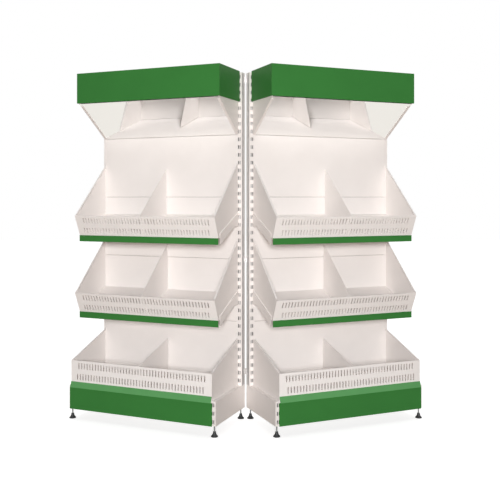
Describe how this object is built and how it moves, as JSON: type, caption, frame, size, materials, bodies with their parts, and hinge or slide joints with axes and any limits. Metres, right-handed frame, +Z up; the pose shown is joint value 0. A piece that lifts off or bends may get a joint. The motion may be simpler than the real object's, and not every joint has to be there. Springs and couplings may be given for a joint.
{
  "type": "produce display rack",
  "caption": "Corner produce display rack of slotted uprights with tilted slit-front baskets, lift-out dividers, mirror canopies, plinths and levelling feet.",
  "frame": {"origin": "middle of the rack's bounding box, on the floor", "axes": "+X across the rack to the right as seen from the front, +Y to the back, +Z up"},
  "size_m": [2.283, 0.813, 2.238],
  "materials": {
    "white_paint": "satin",
    "green_paint": "satin",
    "light_green_paint": "satin",
    "mirror": "polished",
    "zinc_steel": "zinc plated",
    "foot_black": "matte"
  },
  "bodies": {
    "rack": {"corner_ties": "zinc_steel", "cross_bars": "white_paint", "left_back_panels": "white_paint", "left_base_deck": "white_paint", "left_base_front": "white_paint", "left_base_legs": "white_paint", "left_base_sides": "white_paint", "left_base_strip": "light_green_paint", "left_canopy_consoles": "white_paint", "left_canopy_fascia": "green_paint", "left_canopy_mirror": "mirror", "left_canopy_top": "white_paint", "left_inner_upright": "white_paint", "left_lower_front": "white_paint", "left_lower_sides": "white_paint", "left_lower_tray": "white_paint", "left_outer_upright": "white_paint", "left_plinth": "green_paint", "left_shelf_brackets": "white_paint", "left_ticket_strips": "green_paint", "left_upper_front": "white_paint", "left_upper_sides": "white_paint", "left_upper_tray": "white_paint", "right_back_panels": "white_paint", "right_base_deck": "white_paint", "right_base_front": "white_paint", "right_base_legs": "white_paint", "right_base_sides": "white_paint", "right_base_strip": "light_green_paint", "right_canopy_consoles": "white_paint", "right_canopy_fascia": "green_paint", "right_canopy_mirror": "mirror", "right_canopy_top": "white_paint", "right_inner_upright": "white_paint", "right_lower_front": "white_paint", "right_lower_sides": "white_paint", "right_lower_tray": "white_paint", "right_outer_upright": "white_paint", "right_plinth": "green_paint", "right_shelf_brackets": "white_paint", "right_ticket_strips": "green_paint", "right_upper_front": "white_paint", "right_upper_sides": "white_paint", "right_upper_tray": "white_paint"},
    "left_base_divider": {"left_base_divider": "white_paint"},
    "left_inner_front_foot": {"left_inner_front_foot": "foot_black"},
    "left_inner_rear_foot": {"left_inner_rear_foot": "foot_black"},
    "left_lower_divider": {"left_lower_divider": "white_paint"},
    "left_outer_front_foot": {"left_outer_front_foot": "foot_black"},
    "left_outer_rear_foot": {"left_outer_rear_foot": "foot_black"},
    "left_upper_divider": {"left_upper_divider": "white_paint"},
    "right_base_divider": {"right_base_divider": "white_paint"},
    "right_inner_front_foot": {"right_inner_front_foot": "foot_black"},
    "right_inner_rear_foot": {"right_inner_rear_foot": "foot_black"},
    "right_lower_divider": {"right_lower_divider": "white_paint"},
    "right_outer_front_foot": {"right_outer_front_foot": "foot_black"},
    "right_outer_rear_foot": {"right_outer_rear_foot": "foot_black"},
    "right_upper_divider": {"right_upper_divider": "white_paint"}
  },
  "joints": [
    {"name": "left_base_divider_lift", "type": "slide", "parent": "rack", "child": "left_base_divider", "axis": [0, 0, 1], "range_m": [0, 0.14]},
    {"name": "left_inner_front_foot_screw", "type": "slide", "parent": "rack", "child": "left_inner_front_foot", "axis": [0, 0, -1], "range_m": [-0.015, 0.02]},
    {"name": "left_inner_rear_foot_screw", "type": "slide", "parent": "rack", "child": "left_inner_rear_foot", "axis": [0, 0, -1], "range_m": [-0.015, 0.02]},
    {"name": "left_lower_divider_lift", "type": "slide", "parent": "rack", "child": "left_lower_divider", "axis": [-0.1557, -0.3758, 0.9135], "range_m": [0, 0.14]},
    {"name": "left_outer_front_foot_screw", "type": "slide", "parent": "rack", "child": "left_outer_front_foot", "axis": [0, 0, -1], "range_m": [-0.015, 0.02]},
    {"name": "left_outer_rear_foot_screw", "type": "slide", "parent": "rack", "child": "left_outer_rear_foot", "axis": [0, 0, -1], "range_m": [-0.015, 0.02]},
    {"name": "left_upper_divider_lift", "type": "slide", "parent": "rack", "child": "left_upper_divider", "axis": [-0.1557, -0.3758, 0.9135], "range_m": [0, 0.14]},
    {"name": "right_base_divider_lift", "type": "slide", "parent": "rack", "child": "right_base_divider", "axis": [0, 0, 1], "range_m": [0, 0.14]},
    {"name": "right_inner_front_foot_screw", "type": "slide", "parent": "rack", "child": "right_inner_front_foot", "axis": [0, 0, -1], "range_m": [-0.015, 0.02]},
    {"name": "right_inner_rear_foot_screw", "type": "slide", "parent": "rack", "child": "right_inner_rear_foot", "axis": [0, 0, -1], "range_m": [-0.015, 0.02]},
    {"name": "right_lower_divider_lift", "type": "slide", "parent": "rack", "child": "right_lower_divider", "axis": [0.1557, -0.3758, 0.9135], "range_m": [0, 0.14]},
    {"name": "right_outer_front_foot_screw", "type": "slide", "parent": "rack", "child": "right_outer_front_foot", "axis": [0, 0, -1], "range_m": [-0.015, 0.02]},
    {"name": "right_outer_rear_foot_screw", "type": "slide", "parent": "rack", "child": "right_outer_rear_foot", "axis": [0, 0, -1], "range_m": [-0.015, 0.02]},
    {"name": "right_upper_divider_lift", "type": "slide", "parent": "rack", "child": "right_upper_divider", "axis": [0.1557, -0.3758, 0.9135], "range_m": [0, 0.14]}
  ]
}
